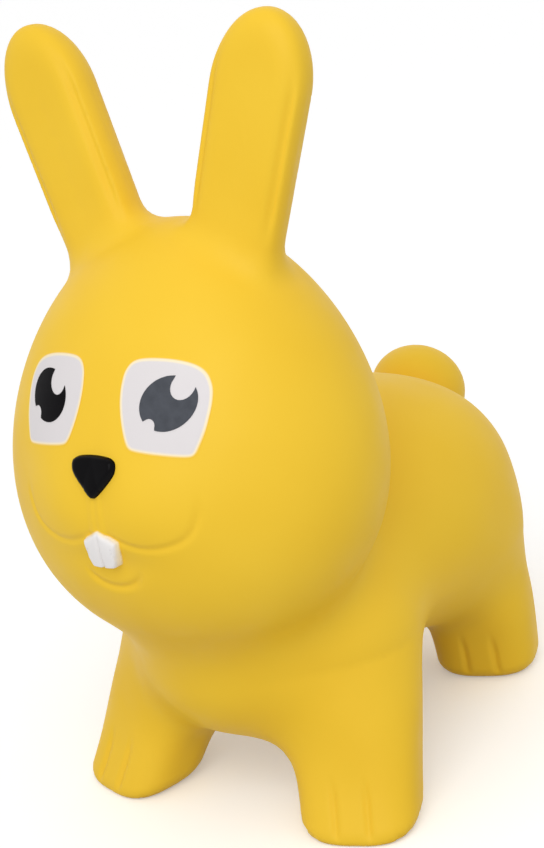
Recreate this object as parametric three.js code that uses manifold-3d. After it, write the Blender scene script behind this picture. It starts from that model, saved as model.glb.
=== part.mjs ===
// Bunny hopper: a blown-up hollow animal of soft PVC, sat on and bounced, held by its two ears.
// Millimetres, +Z up. The origin lies on the floor in the middle of the hopper's outline.
// The face looks along -Y and the bunny's left side is +X.
import * as THREE from "three";
import { mergeVertices } from "three/addons/utils/BufferGeometryUtils.js";
import Module from "manifold-3d";

const wasm = await Module();
wasm.setup();

// Skin and clearances
const WALL = 2;
const SEAM_GAP = 0.3;
const PAINT_GAP = 0.3;

// Head: an egg, narrower at the crown, leaning back a little as it rises
const HEAD_WIDTH = 289;
const HEAD_DEPTH = 228;
const HEAD_HEIGHT = 306;
const HEAD_TAPER = 0.13;
const HEAD_LEAN = 0.1;
const HEAD_FORWARD = 99;
const HEAD_ABOVE_CHEST = 170.5;

// Ears: flattened clubs with a rounded tip, which are also the handles
const EAR_ROOT_SPACING = 111;
const EAR_ROOT_BACK = 12;
const EAR_LENGTH = 162;
const EAR_ROOT_WIDTH = 68;
const EAR_TIP_WIDTH = 72;
const EAR_TIP_LENGTH = 52;
const EAR_FRONT_DEPTH = 22;
const EAR_BACK_DEPTH = 31;
const EAR_SPREAD = 18;
const EAR_BACK_LEAN = 4;
const EAR_SINK = 18;
const EAR_BEND_MARGIN = 2;
const EAR_BEND_GAP = 0.8;

// Body: a barrel to sit on, a chest under the chin and two haunches
const BARREL_WIDTH = 227;
const BARREL_LENGTH = 335;
const BARREL_HEIGHT = 196;
const BARREL_BACK = 25;
const BARREL_MIDDLE_HEIGHT = 175.5;
const CHEST_WIDTH = 161;
const CHEST_LENGTH = 140;
const CHEST_HEIGHT = 146;
const CHEST_FORWARD = 92;
const CHEST_MIDDLE_HEIGHT = 125.5;
const HAUNCH_SPACING = 123;
const HAUNCH_WIDTH = 139;
const HAUNCH_LENGTH = 183;
const HAUNCH_HEIGHT = 174;
const HAUNCH_BACK = 92.5;
const HAUNCH_MIDDLE_HEIGHT = 152.5;
const CHEST_BLEND = 40;
const HAUNCH_BLEND = 60;

// Legs: leaning round columns with a flat sole, a rounded sole edge and a domed top inside the body
const FOOT_RADIUS = 45;
const SOLE_EDGE_RADIUS = 17;
const HIP_HEIGHT = 120;
const HIP_RADIUS = 53;
const LEG_FLARE = 24;
const FLARE_END = 40;
const FRONT_FEET_SPACING = 207;
const FRONT_FEET_FORWARD = 118;
const FRONT_HIPS_SPACING = 146;
const FRONT_HIPS_FORWARD = 58;
const REAR_FEET_SPACING = 171;
const REAR_FEET_BACK = 128;
const REAR_HIPS_SPACING = 154;
const REAR_HIPS_BACK = 114;

// Tail: a ball sunk into the rump
const TAIL_DIAMETER = 84;
const TAIL_ABOVE_BARREL = 22;
const TAIL_SINK = 17;

// Air valve: a thick boss under the belly and the plug that stops it
const BOSS_RADIUS = 17;
const BOSS_PROUD = 1.5;
const BOSS_DEPTH = 9;
const PLUG_STEM_RADIUS = 4.5;
const PLUG_STEM_LENGTH = 20;
const PLUG_TIP_RADIUS = 3.6;
const PLUG_HEAD_RADIUS = 10;
const PLUG_HEAD_THICKNESS = 3;
const PLUG_FIT = 0.25;

// Face, in front view: the eyes are placed from the middle of the head, and each mark below from the one above
const EYE_SPACING = 94;
const EYES_ABOVE_HEAD_MIDDLE = 56;
const EYE_WHITE_WIDTH = 57;
const EYE_WHITE_HEIGHT = 56;
const EYE_WHITE_TAPER = 0.12;
const EYE_WHITE_SQUARENESS = 2.8;
const PUPIL_WIDTH = 38;
const PUPIL_HEIGHT = 32.5;
const PUPIL_SPACING = 101;
const PUPIL_RISE = 2;
const GLINT_RADIUS = 8;
const GLINT_OFFSET = 13;
const SMALL_GLINT_RADIUS = 4.6;
const SMALL_GLINT_OFFSET = 16.5;
const PAINT_THICKNESS = 0.8;
const NOSE_BELOW_EYES = 42;
const NOSE_WIDTH = 35;
const NOSE_LENGTH = 27;
const NOSE_TAPER = 0.55;
const NOSE_SQUARENESS = 2.2;
const NOSE_PROUD = 4;
const LIP_LENGTH = 23.5;
const TEETH_WIDTH = 26;
const TEETH_LENGTH = 27;
const TEETH_TAPER = 0.14;
const TEETH_SQUARENESS = 3;
const TEETH_PROUD = 3;

// Smoothness: sides round a form and rows along it
const HEAD_SIDES = 24;
const HEAD_ROWS = 16;
const BODY_SIDES = 28;
const BODY_ROWS = 20;
const LEG_SIDES = 24;
const LEG_ROWS = 8;
const EAR_SIDES = 16;
const EAR_ROWS = 3;
const ARC_STEPS = 3;
const BALL_SIDES = 14;
const BALL_ROWS = 9;
const BEND_SIDES = 24;
const BEND_ROWS = 16;
const PAINT_SIDES = 24;
const PAINT_ROWS = 5;
const ROUND_SIDES = 24;

const SIDES = { left: 1, right: -1 };
const vec = (x, y, z) => new THREE.Vector3(x, y, z);

// A geometry with nothing but its positions, in which faces share their corners
function bare(geometry) {
  const positions = new THREE.BufferGeometry();
  positions.setAttribute("position", geometry.getAttribute("position"));
  positions.setIndex(geometry.index);
  return mergeVertices(positions);
}

// Booleans: a closed geometry as a solid, and a solid as a geometry
function solid(geometry) {
  const { index, attributes } = bare(geometry);
  const triangles = [];
  for (let i = 0; i < index.count; i += 3) {
    const corners = [index.getX(i), index.getX(i + 1), index.getX(i + 2)];
    if (new Set(corners).size === 3) triangles.push(...corners);
  }
  const mesh = new wasm.Mesh({
    numProp: 3,
    vertProperties: attributes.position.array,
    triVerts: new Uint32Array(triangles),
  });
  return new wasm.Manifold(mesh);
}

function geometryOf(shape) {
  const mesh = shape.getMesh();
  const geometry = new THREE.BufferGeometry();
  geometry.setAttribute("position", new THREE.BufferAttribute(mesh.vertProperties, 3));
  geometry.setIndex(new THREE.BufferAttribute(mesh.triVerts, 1));
  geometry.computeVertexNormals();
  return geometry;
}

const joined = (...shapes) => shapes.reduce((whole, shape) => whole.add(shape));
const cut = (shape, ...tools) => tools.reduce((rest, tool) => rest.subtract(tool), shape);

// Moves every corner of a geometry to where place puts it.
function remap(geometry, place) {
  const moved = bare(geometry);
  const positions = moved.getAttribute("position");
  for (let i = 0; i < positions.count; i++) {
    const { x, y, z } = place(vec(0, 0, 0).fromBufferAttribute(positions, i));
    positions.setXYZ(i, x, y, z);
  }
  return moved;
}

// An egg: a ball stretched to its sizes, drawn in towards the top by its taper and leaning back with height.
const egg = (centre, width, length, height, taper = 0, lean = 0) => ({
  centre,
  half: vec(width / 2, length / 2, height / 2),
  taper,
  lean,
});
const grown = (form, by) => ({ ...form, half: form.half.clone().addScalar(by) });

function eggPoint(form, unit) {
  const waist = 1 - form.taper * unit.z;
  const point = unit.clone().multiply(form.half);
  point.x *= waist;
  point.y = point.y * waist + form.lean * point.z;
  return point.add(form.centre);
}

// How far a point stands off an egg's surface, close to it; negative inside.
function eggDistance(form, point) {
  const at = point.clone().sub(form.centre);
  at.y -= form.lean * at.z;
  at.divide(form.half);
  const waist = 1 - form.taper * at.z;
  at.set(at.x / waist, at.y / waist, at.z);
  const level = at.length();
  const slope = at.divide(form.half).length();
  return (level * (level - 1)) / slope;
}

function eggSolid(form, sides, rows) {
  const ball = new THREE.SphereGeometry(1, sides, rows).rotateX(Math.PI / 2);
  return solid(remap(ball, (unit) => eggPoint(form, unit)));
}

// The point where a distance is zero, on the line from a point outside the form to a point inside it.
function touch(distance, outside, inside) {
  const BISECTIONS = 40;
  const from = outside.clone();
  const to = inside.clone();
  const middle = vec(0, 0, 0);
  for (let i = 0; i < BISECTIONS; i++) {
    middle.addVectors(from, to).multiplyScalar(0.5);
    if (distance(middle) > 0) from.copy(middle);
    else to.copy(middle);
  }
  return to;
}

// The direction in which a distance grows.
function outward(distance, point) {
  const STEP = 0.01;
  const slope = (along) => {
    const ahead = distance(point.clone().addScaledVector(along, STEP));
    return ahead - distance(point.clone().addScaledVector(along, -STEP));
  };
  return vec(slope(vec(1, 0, 0)), slope(vec(0, 1, 0)), slope(vec(0, 0, 1))).normalize();
}

// The smaller of two distances, rounded off over a blend where they are alike.
function softMin(a, b, blend) {
  const near = Math.max(blend - Math.abs(a - b), 0) / blend;
  return Math.min(a, b) - (near * near * blend) / 4;
}

const ballSolid = (centre, radius, sides, rows) =>
  solid(new THREE.SphereGeometry(radius, sides, rows).translate(centre.x, centre.y, centre.z));

// A round piece on the Z axis, from the outline of its half section.
function turned(outline, sides) {
  return new THREE.LatheGeometry(outline, sides).rotateX(Math.PI / 2);
}

// The main forms
const HEAD = egg(
  vec(0, -HEAD_FORWARD, CHEST_MIDDLE_HEIGHT + HEAD_ABOVE_CHEST),
  HEAD_WIDTH,
  HEAD_DEPTH,
  HEAD_HEIGHT,
  HEAD_TAPER,
  HEAD_LEAN,
);
const BARREL = egg(
  vec(0, BARREL_BACK, BARREL_MIDDLE_HEIGHT),
  BARREL_WIDTH,
  BARREL_LENGTH,
  BARREL_HEIGHT,
);
const CHEST = egg(
  vec(0, -CHEST_FORWARD, CHEST_MIDDLE_HEIGHT),
  CHEST_WIDTH,
  CHEST_LENGTH,
  CHEST_HEIGHT,
);
const haunch = (sign) =>
  egg(
    vec((sign * HAUNCH_SPACING) / 2, HAUNCH_BACK, HAUNCH_MIDDLE_HEIGHT),
    HAUNCH_WIDTH,
    HAUNCH_LENGTH,
    HAUNCH_HEIGHT,
  );

const headDistance = (point) => eggDistance(HEAD, point);

// The body is one smooth form: barrel, chest and haunches run into each other.
const haunches = [haunch(SIDES.left), haunch(SIDES.right)];
function bodyDistance(point) {
  const front = softMin(eggDistance(BARREL, point), eggDistance(CHEST, point), CHEST_BLEND);
  const rear = Math.min(...haunches.map((form) => eggDistance(form, point)));
  return softMin(front, rear, HAUNCH_BLEND);
}

// The body's solid, grown or shrunk all over by a distance, cast out from the middle of the barrel
function bodySolid(by) {
  const reach = BARREL_WIDTH + BARREL_LENGTH;
  const ball = new THREE.SphereGeometry(1, BODY_SIDES, BODY_ROWS).rotateX(Math.PI / 2);
  const skin = (point) => bodyDistance(point) - by;
  const cast = (unit) => touch(skin, unit.multiplyScalar(reach).add(BARREL.centre), BARREL.centre);
  return solid(remap(ball, cast));
}
const bodyInside = bodySolid(-WALL);

// Legs: each is a leaning column of level rings from a flat sole to a domed hip inside the body.
const legRadius = (height) => FOOT_RADIUS + (HIP_RADIUS - FOOT_RADIUS) * (height / HIP_HEIGHT);
function legSolid({ foot, hip }, inset) {
  const edge = FOOT_RADIUS - SOLE_EDGE_RADIUS;
  const sole = new THREE.Path();
  sole.moveTo(0, inset);
  sole.lineTo(edge, inset);
  sole.absarc(edge, SOLE_EDGE_RADIUS, SOLE_EDGE_RADIUS - inset, -Math.PI / 2, 0);
  const outline = sole.getPoints(ARC_STEPS);
  for (let row = 1; row < LEG_ROWS; row++) {
    const height = SOLE_EDGE_RADIUS + ((HIP_HEIGHT - SOLE_EDGE_RADIUS) * row) / LEG_ROWS;
    outline.push(new THREE.Vector2(legRadius(height) - inset, height));
  }
  const dome = new THREE.Path().absarc(0, HIP_HEIGHT, HIP_RADIUS - inset, 0, Math.PI / 2);
  outline.push(...dome.getPoints(ARC_STEPS));
  const place = (point) => {
    const { x, y } = foot.clone().lerp(hip, point.z / HIP_HEIGHT);
    const middle = vec(x, y, point.z);
    const ring = middle.clone().add(vec(point.x, point.y, 0));
    if (point.z <= SOLE_EDGE_RADIUS || point.z > HIP_HEIGHT) return ring;
    // Close to the body the ring widens, by as much as the body is nearer than the flare, which ends at the hip.
    const radius = ring.distanceTo(middle);
    const flare = LEG_FLARE * Math.min(1, (HIP_HEIGHT - point.z) / FLARE_END);
    const flared = (at) => bodyDistance(at) + at.distanceTo(middle) - radius - flare + inset;
    const widest = middle.clone().lerp(ring, 1 + LEG_FLARE / radius);
    const wide = touch(flared, widest, middle);
    return wide.distanceTo(middle) > radius ? wide : ring;
  };
  return solid(remap(turned(outline, LEG_SIDES), place));
}
const legs = [];
for (const [side, sign] of Object.entries(SIDES)) {
  legs.push({
    name: `skin_leg_front_${side}`,
    foot: vec((sign * FRONT_FEET_SPACING) / 2, -FRONT_FEET_FORWARD, 0),
    hip: vec((sign * FRONT_HIPS_SPACING) / 2, -FRONT_HIPS_FORWARD, HIP_HEIGHT),
  });
  legs.push({
    name: `skin_leg_rear_${side}`,
    foot: vec((sign * REAR_FEET_SPACING) / 2, REAR_FEET_BACK, 0),
    hip: vec((sign * REAR_HIPS_SPACING) / 2, REAR_HIPS_BACK, HIP_HEIGHT),
  });
}

// Ears: each is a club drawn along its own Z axis from the middle of its root, with its front along -Y.
function earSolid(matrix, inset) {
  const rootHalf = EAR_ROOT_WIDTH / 2 - inset;
  const tipHalf = EAR_TIP_WIDTH / 2 - inset;
  const shoulder = EAR_LENGTH - EAR_TIP_LENGTH;
  const outline = [new THREE.Vector2(0, -EAR_SINK), new THREE.Vector2(rootHalf, -EAR_SINK)];
  for (let row = 0; row < EAR_ROWS; row++) {
    const share = row / EAR_ROWS;
    outline.push(new THREE.Vector2(rootHalf + (tipHalf - rootHalf) * share, shoulder * share));
  }
  const tip = new THREE.Path();
  tip.absellipse(0, shoulder, tipHalf, EAR_TIP_LENGTH - inset, 0, Math.PI / 2);
  outline.push(...tip.getPoints(ARC_STEPS));
  const front = (EAR_FRONT_DEPTH - inset) / tipHalf;
  const back = (EAR_BACK_DEPTH - inset) / tipHalf;
  const club = remap(turned(outline, EAR_SIDES), (point) => {
    point.y *= point.y < 0 ? front : back;
    return point.applyMatrix4(matrix);
  });
  return solid(club);
}

// The ear bends on a round seat about the middle of its root, wide enough to hold the whole sunken root.
const bendRadius = Math.hypot(EAR_ROOT_WIDTH / 2, EAR_SINK) + EAR_BEND_MARGIN;

const radians = THREE.MathUtils.degToRad;
function earPlace(sign) {
  const x = (sign * EAR_ROOT_SPACING) / 2;
  const y = HEAD.centre.y + EAR_ROOT_BACK;
  const above = vec(x, y, HEAD.centre.z + HEAD_HEIGHT);
  const root = touch(headDistance, above, vec(x, y, HEAD.centre.z));
  const turn = new THREE.Euler(radians(-EAR_BACK_LEAN), radians(sign * EAR_SPREAD), 0, "YXZ");
  return new THREE.Matrix4().makeRotationFromEuler(turn).setPosition(root);
}

// Tail: a ball whose middle stands off the rump
const rumpHeight = BARREL_MIDDLE_HEIGHT + TAIL_ABOVE_BARREL;
const behind = vec(0, BARREL_BACK + BARREL_LENGTH, rumpHeight);
const rump = touch(bodyDistance, behind, vec(0, BARREL_BACK, rumpHeight));
const tailOut = outward(bodyDistance, rump).multiplyScalar(TAIL_DIAMETER / 2 - TAIL_SINK);
const tailCentre = rump.clone().add(tailOut);
const tailSolid = (inset) =>
  ballSolid(tailCentre, TAIL_DIAMETER / 2 - inset, BALL_SIDES, BALL_ROWS);

// Air valve: the boss hangs under the belly, below the middle of the barrel, and clears the skin round it.
const bellyHeights = [-BOSS_RADIUS, 0, BOSS_RADIUS].map((step) => {
  const y = BARREL_BACK + step;
  return touch(bodyDistance, vec(0, y, 0), vec(0, y, BARREL_MIDDLE_HEIGHT)).z;
});
const bellyHeight = Math.min(...bellyHeights);
const bossFace = bellyHeight - BOSS_PROUD;
function roundBar(radius, bottom, top) {
  const bar = new THREE.CylinderGeometry(radius, radius, top - bottom, ROUND_SIDES);
  bar.rotateX(Math.PI / 2).translate(0, BARREL_BACK, (bottom + top) / 2);
  return solid(bar);
}

// Finishes
const finish = (color, roughness) =>
  new THREE.MeshStandardMaterial({ color, roughness, metalness: 0 });
const FINISHES = {
  skin: () => finish("#f2ca46", 0.5),
  white: () => finish("#eee9e4", 0.6),
  black: () => finish("#17151a", 0.4),
  plug: () => finish("#e8e4da", 0.45),
};

const hopper = new THREE.Group();
hopper.name = "bunny_hopper";
function addPiece(name, geometry, material) {
  const mesh = new THREE.Mesh(geometry, material());
  mesh.name = name;
  hopper.add(mesh);
  return mesh;
}
const addSolid = (name, shape, material) => addPiece(name, geometryOf(shape), material);

// Skin of the body, opened for the head, legs and tail so that their air spaces join
const legHollows = legs.map((leg) => legSolid(leg, WALL));
const boss = roundBar(BOSS_RADIUS, bossFace, bellyHeight + BOSS_DEPTH);
const boreEnd = bellyHeight + 2 * BOSS_DEPTH;
const bore = roundBar(PLUG_STEM_RADIUS + PLUG_FIT, bossFace - BOSS_DEPTH, boreEnd);
const bodySkin = joined(cut(bodySolid(0), bodyInside), boss);
const headSeat = eggSolid(grown(HEAD, SEAM_GAP), HEAD_SIDES, HEAD_ROWS);
addSolid(
  "skin_body",
  cut(bodySkin, bore, headSeat, tailSolid(WALL), ...legHollows),
  FINISHES.skin,
);

// Skin of the head with the stubs of the ears, and the ears that bend on them
const ears = Object.entries(SIDES).map(([side, sign]) => ({ side, place: earPlace(sign) }));
const headInside = eggSolid(grown(HEAD, -WALL), HEAD_SIDES, HEAD_ROWS);
let headSkin = eggSolid(HEAD, HEAD_SIDES, HEAD_ROWS);
for (const { side, place } of ears) {
  const root = vec(0, 0, 0).setFromMatrixPosition(place);
  const outside = earSolid(place, 0);
  const hollow = earSolid(place, WALL);
  const stub = ballSolid(root, bendRadius - EAR_BEND_GAP / 2, BEND_SIDES, BEND_ROWS);
  const seat = ballSolid(root, bendRadius + EAR_BEND_GAP / 2, BEND_SIDES, BEND_ROWS);
  headSkin = cut(joined(headSkin, outside.intersect(stub)), hollow);
  addSolid(`skin_ear_${side}`, cut(outside, hollow, seat), FINISHES.skin);
}
addSolid("skin_head", cut(headSkin, headInside, bodyInside), FINISHES.skin);

// Skin of the legs and the tail, ending on the body
const bodySeat = bodySolid(SEAM_GAP);
legs.forEach((leg, i) => {
  const shell = cut(legSolid(leg, 0), legHollows[i]);
  addSolid(leg.name, cut(shell, bodySeat, headSeat), FINISHES.skin);
});
addSolid("skin_tail", cut(tailSolid(0), tailSolid(WALL), bodySeat), FINISHES.skin);

// Air plug: a tapered stem with a flat head
const plugOutline = [
  [0, -PLUG_HEAD_THICKNESS],
  [PLUG_HEAD_RADIUS, -PLUG_HEAD_THICKNESS],
  [PLUG_HEAD_RADIUS, 0],
  [PLUG_STEM_RADIUS, 0],
  [PLUG_TIP_RADIUS, PLUG_STEM_LENGTH],
  [0, PLUG_STEM_LENGTH],
].map(([radius, height]) => new THREE.Vector2(radius, height));
const plug = addPiece("air_plug", turned(plugOutline, ROUND_SIDES), FINISHES.plug);
plug.position.set(0, BARREL_BACK, bossFace - SEAM_GAP);

// A thin piece that follows the face: outline gives its edge in front view at each angle round its middle.
function facePiece(middle, outline, lift, thickness) {
  const ball = new THREE.SphereGeometry(1, PAINT_SIDES, PAINT_ROWS).rotateX(Math.PI);
  return remap(ball, (unit) => {
    const share = Math.hypot(unit.x, unit.z);
    const edge = outline(Math.atan2(unit.z, unit.x));
    const x = middle.x + edge.x * share;
    const z = middle.y + edge.y * share;
    const far = HEAD.centre.y - HEAD_DEPTH;
    const base = touch(headDistance, vec(x, far, z), vec(x, HEAD.centre.y, z));
    const height = lift + (thickness * (1 - Math.sign(unit.y) * Math.sqrt(Math.abs(unit.y)))) / 2;
    return base.addScaledVector(outward(headDistance, base), height);
  });
}

// An outline between an ellipse and a box, wider at the top by its taper
const softBox = (width, height, squareness, taper) => (angle) => {
  const along = Math.abs(Math.cos(angle) / (width / 2)) ** squareness;
  const up = Math.abs(Math.sin(angle) / (height / 2)) ** squareness;
  const reach = (along + up) ** (-1 / squareness);
  const z = reach * Math.sin(angle);
  return new THREE.Vector2(reach * Math.cos(angle) * (1 + (taper * z) / (height / 2)), z);
};
const oval = (width, height) => (angle) =>
  new THREE.Vector2((width / 2) * Math.cos(angle), (height / 2) * Math.sin(angle));

// A round bar along Y through the face, to cut the glints out of the pupils
function glint(x, z, radius) {
  const bar = new THREE.CylinderGeometry(radius, radius, HEAD_DEPTH, ROUND_SIDES);
  return solid(bar.translate(x, HEAD.centre.y - HEAD_DEPTH / 2, z));
}

// Eyes: white, pupil and the two glints, which sit on the same side in both eyes
const eyeHeight = HEAD.centre.z + EYES_ABOVE_HEAD_MIDDLE;
for (const [side, sign] of Object.entries(SIDES)) {
  const middle = new THREE.Vector2((sign * EYE_SPACING) / 2, eyeHeight);
  const white = softBox(EYE_WHITE_WIDTH, EYE_WHITE_HEIGHT, EYE_WHITE_SQUARENESS, EYE_WHITE_TAPER);
  addPiece(`eye_white_${side}`, facePiece(middle, white, PAINT_GAP, PAINT_THICKNESS), FINISHES.white);
  const centre = new THREE.Vector2((sign * PUPIL_SPACING) / 2, eyeHeight + PUPIL_RISE);
  const lift = 2 * PAINT_GAP + PAINT_THICKNESS;
  const pupilEdge = oval(PUPIL_WIDTH, PUPIL_HEIGHT);
  const round = solid(facePiece(centre, pupilEdge, lift, PAINT_THICKNESS));
  const step = GLINT_OFFSET * Math.SQRT1_2;
  const smallStep = SMALL_GLINT_OFFSET * Math.SQRT1_2;
  const glints = [
    glint(centre.x + step, centre.y + step, GLINT_RADIUS),
    glint(centre.x - smallStep, centre.y - smallStep, SMALL_GLINT_RADIUS),
  ];
  addSolid(`pupil_${side}`, cut(round, ...glints), FINISHES.black);
}

// Nose, and the front teeth a lip's length below it
const noseHeight = eyeHeight - NOSE_BELOW_EYES;
const noseMiddle = new THREE.Vector2(0, noseHeight);
const noseEdge = softBox(NOSE_WIDTH, NOSE_LENGTH, NOSE_SQUARENESS, NOSE_TAPER);
addPiece("nose", facePiece(noseMiddle, noseEdge, PAINT_GAP, NOSE_PROUD), FINISHES.black);
const teethHeight = noseHeight - NOSE_LENGTH / 2 - LIP_LENGTH - TEETH_LENGTH / 2;
const teethMiddle = new THREE.Vector2(0, teethHeight);
const teethEdge = softBox(TEETH_WIDTH, TEETH_LENGTH, TEETH_SQUARENESS, TEETH_TAPER);
addPiece("teeth", facePiece(teethMiddle, teethEdge, PAINT_GAP, TEETH_PROUD), FINISHES.white);

// The origin goes under the middle of the whole outline.
const box = new THREE.Box3().setFromObject(hopper);
hopper.position.y = -box.getCenter(vec(0, 0, 0)).y;

export default hopper;
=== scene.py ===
import math
from typing import NamedTuple

import bmesh
import bpy
import numpy as np
from mathutils import Color, Matrix, Vector
from mathutils.geometry import delaunay_2d_cdt


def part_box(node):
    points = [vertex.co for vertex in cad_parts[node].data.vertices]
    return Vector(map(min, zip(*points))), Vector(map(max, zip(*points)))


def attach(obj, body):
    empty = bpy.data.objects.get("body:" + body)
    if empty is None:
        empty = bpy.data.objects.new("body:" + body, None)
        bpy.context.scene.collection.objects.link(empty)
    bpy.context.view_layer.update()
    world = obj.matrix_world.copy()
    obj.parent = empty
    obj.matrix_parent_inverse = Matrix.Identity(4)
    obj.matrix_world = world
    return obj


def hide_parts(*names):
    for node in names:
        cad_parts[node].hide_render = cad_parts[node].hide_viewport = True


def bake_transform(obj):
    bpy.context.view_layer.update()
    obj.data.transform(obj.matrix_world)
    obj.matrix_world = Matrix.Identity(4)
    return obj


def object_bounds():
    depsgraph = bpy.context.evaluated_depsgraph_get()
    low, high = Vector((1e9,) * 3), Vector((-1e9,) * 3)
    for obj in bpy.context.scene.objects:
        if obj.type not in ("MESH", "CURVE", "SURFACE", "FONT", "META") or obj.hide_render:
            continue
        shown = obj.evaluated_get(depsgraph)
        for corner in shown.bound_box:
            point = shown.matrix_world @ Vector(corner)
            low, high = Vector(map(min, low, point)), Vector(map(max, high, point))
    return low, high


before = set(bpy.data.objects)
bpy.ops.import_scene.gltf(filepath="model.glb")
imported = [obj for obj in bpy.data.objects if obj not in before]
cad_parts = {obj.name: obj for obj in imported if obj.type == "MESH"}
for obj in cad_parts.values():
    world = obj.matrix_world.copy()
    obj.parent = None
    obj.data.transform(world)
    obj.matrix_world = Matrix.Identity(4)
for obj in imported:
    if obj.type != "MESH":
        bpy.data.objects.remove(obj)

bl_info = {
    "name": "Bunny Hopper",
    "version": (1, 0, 0),
    "blender": (4, 5, 0),
    "location": "View3D > Sidebar > Hopper",
    "description": "Builds a blown-up bunny hopper of soft vinyl around its packed solids",
    "category": "Add Mesh",
}

CAD_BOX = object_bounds()
MM = 0.001
TINY = 1e-12
WHITE = (1, 1, 1, 1)
SCREEN_WHITE = 255
SIDES = {"left": 1, "right": -1}
IMAGE_WIDTH = 544
IMAGE_HEIGHT = 848

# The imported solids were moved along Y, and the middle of the plug tells how far.
PLUG_LOW, PLUG_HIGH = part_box("air_plug")
PLUG_X = (PLUG_LOW.x + PLUG_HIGH.x) / 2
PLUG_Y = (PLUG_LOW.y + PLUG_HIGH.y) / 2


# Properties

def length(name, default, description):
    """A length in metres that a user may change."""
    return bpy.props.FloatProperty(
        name=name, description=description, default=default, subtype="DISTANCE", unit="LENGTH", precision=4
    )


def place(name, default, description):
    """A point or the half sizes of a form, in metres."""
    return bpy.props.FloatVectorProperty(
        name=name,
        description=description,
        default=default,
        size=3,
        subtype="TRANSLATION",
        unit="LENGTH",
        precision=4,
    )


def number(name, default, description):
    """A plain number."""
    return bpy.props.FloatProperty(name=name, description=description, default=default)


def angle(name, default, description):
    """An angle, given in degrees and kept in radians."""
    return bpy.props.FloatProperty(
        name=name, description=description, default=math.radians(default), subtype="ANGLE", unit="ROTATION"
    )


def colour(name, default, description):
    """A colour, given as a screen colour from 0 to 255 and kept as light."""
    light = Color([c / SCREEN_WHITE for c in default]).from_srgb_to_scene_linear()
    return bpy.props.FloatVectorProperty(
        name=name, description=description, default=(*light, 1.0), size=4, subtype="COLOR", min=0, max=1
    )


class HopperForm(bpy.types.PropertyGroup):
    """Sizes of the blown-up skin, measured before the solids' move along Y"""

    valve_back: length("Valve back", 0.025, "How far the valve lies behind the form's own zero")
    head_centre: place("Head middle", (0, -0.099, 0.296), "Middle of the head")
    head_half: place("Head half sizes", (0.1445, 0.114, 0.153), "Half width, depth and height of the head")
    head_taper: number("Head taper", 0.13, "How much the head narrows towards its crown")
    head_lean: number("Head lean", 0.10, "How far the head leans back for its height")
    barrel_centre: place("Barrel middle", (0, 0.025, 0.1755), "Middle of the barrel that is sat on")
    barrel_half: place("Barrel half sizes", (0.1135, 0.1675, 0.098), "Half sizes of the barrel")
    chest_centre: place("Chest middle", (0, -0.092, 0.1255), "Middle of the chest under the chin")
    chest_half: place("Chest half sizes", (0.0805, 0.070, 0.073), "Half sizes of the chest")
    haunch_centre: place("Haunch middle", (0.0615, 0.0925, 0.1525), "Middle of the left haunch")
    haunch_half: place("Haunch half sizes", (0.0695, 0.0915, 0.087), "Half sizes of a haunch")
    tail_centre: place("Tail middle", (0, 0.2150, 0.2076), "Middle of the tail")
    tail_half: place("Tail half sizes", (0.041, 0.0365, 0.041), "Half sizes of the tail, flat on its end")
    tail_rise: angle("Tail rise", 38, "How far the tail's end points up from straight back")
    front_foot_radius: length("Front foot radius", 0.044, "Radius of a front foot above the sole's edge")
    rear_foot_radius: length("Rear foot radius", 0.0415, "Radius of a rear foot above the sole's edge")
    front_hip_radius: length("Front hip radius", 0.053, "Radius of a front leg at its hip")
    rear_hip_radius: length("Rear hip radius", 0.0490, "Radius of a rear leg at its hip")
    front_bow: number("Front bow", 0.9, "Power of a front leg's lean: below 1 its foot flares out")
    rear_bow: number("Rear bow", 2.0, "Power of a rear leg's lean: above 1 it bends in higher up")
    hip_height: length("Hip height", 0.120, "Height of the hips above the floor")
    foot_turn: angle("Foot turn", 18, "How far the toes turn outwards")
    foot_squareness: number("Foot squareness", 0.9, "How far a foot is squarer than round, seen from above")
    foot_shortening: number("Foot shortening", 0.15, "How much shorter than wide a foot is")
    sole_edge: length("Sole edge", 0.0125, "Radius of the rounded edge round a sole")
    front_foot: place("Front foot", (0.1035, -0.118, 0), "Where the left front foot stands")
    front_hip: place("Front hip", (0.073, -0.052, 0), "Where the left front hip lies, seen from above")
    rear_foot: place("Rear foot", (0.0855, 0.128, 0), "Where the left rear foot stands")
    rear_hip: place("Rear hip", (0.077, 0.114, 0), "Where the left rear hip lies, seen from above")
    neck_blend: length("Neck blend", 0.011, "Roundness of the crease between head and back")
    throat_blend: length("Throat blend", 0.034, "Roundness between chin and chest")
    chest_blend: length("Chest blend", 0.040, "Roundness between barrel and chest")
    shoulder_blend: length("Shoulder blend", 0.045, "Roundness where the front legs leave the body")
    hip_blend: length("Hip blend", 0.028, "Roundness where the rear legs leave the haunches")
    haunch_blend: length("Haunch blend", 0.060, "Roundness between barrel and haunches")
    tail_blend: length("Tail blend", 0.007, "Roundness of the crease round the tail")
    middle_softness: length("Middle softness", 0.008, "How softly the left half runs into the right half")
    mesh_step: length("Mesh step", 0.0055, "Spacing of the mesh on the plain parts of the skin")


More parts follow.
